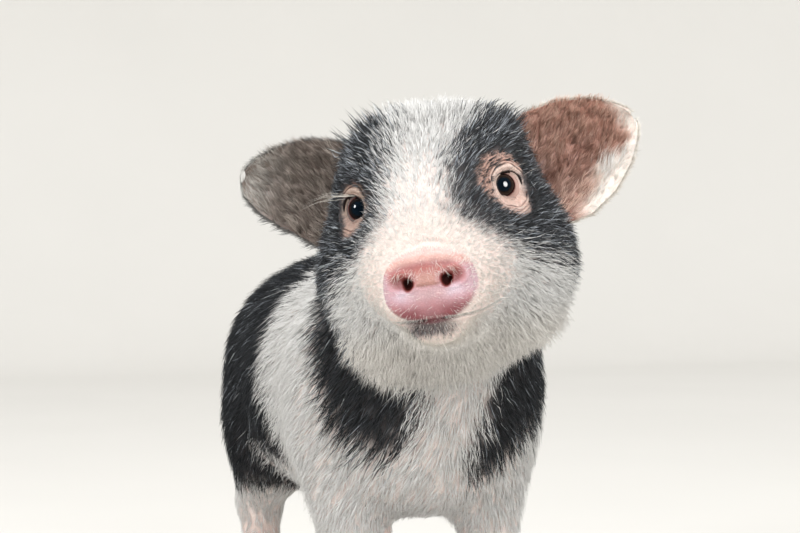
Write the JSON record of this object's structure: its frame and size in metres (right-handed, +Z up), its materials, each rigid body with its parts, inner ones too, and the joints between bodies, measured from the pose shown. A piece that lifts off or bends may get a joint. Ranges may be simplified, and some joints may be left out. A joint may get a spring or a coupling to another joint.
{
  "type": "miniature pig",
  "caption": "Still, life-size miniature piglet standing on its hooves, bristly black and white coat, head raised and turned, ears out to the sides.",
  "frame": {"origin": "on the floor, under the middle of the animal's box", "axes": "+Z up, -Y the way the body faces, +X to the animal's left"},
  "size_m": [0.1786, 0.4574, 0.3013],
  "materials": {
    "coat_white": "bristly cream-white hair over pale pink skin",
    "coat_black": "bristly black hair over dark grey skin",
    "snout_skin": "bare moist pink skin",
    "ear_skin": "thin skin, pink-brown inside, with fine hair",
    "eye": "wet, dark brown",
    "horn": "horn, smooth but not polished"
  },
  "bodies": {
    "root": {"dewclaw_front_left_inner": "horn", "dewclaw_front_left_outer": "horn", "dewclaw_front_right_inner": "horn", "dewclaw_front_right_outer": "horn", "dewclaw_hind_left_inner": "horn", "dewclaw_hind_left_outer": "horn", "dewclaw_hind_right_inner": "horn", "dewclaw_hind_right_outer": "horn", "ear_left": "ear_skin", "ear_right": "ear_skin", "eye_left": "eye", "eye_right": "eye", "head": "coat_white", "hoof_front_left_inner": "horn", "hoof_front_left_outer": "horn", "hoof_front_right_inner": "horn", "hoof_front_right_outer": "horn", "hoof_hind_left_inner": "horn", "hoof_hind_left_outer": "horn", "hoof_hind_right_inner": "horn", "hoof_hind_right_outer": "horn", "leg_front_left": "coat_white", "leg_front_right": "coat_white", "leg_hind_left": "coat_white", "leg_hind_right": "coat_white", "neck": "coat_black", "tail": "coat_white", "torso": "coat_white"}
  },
  "joints": []
}
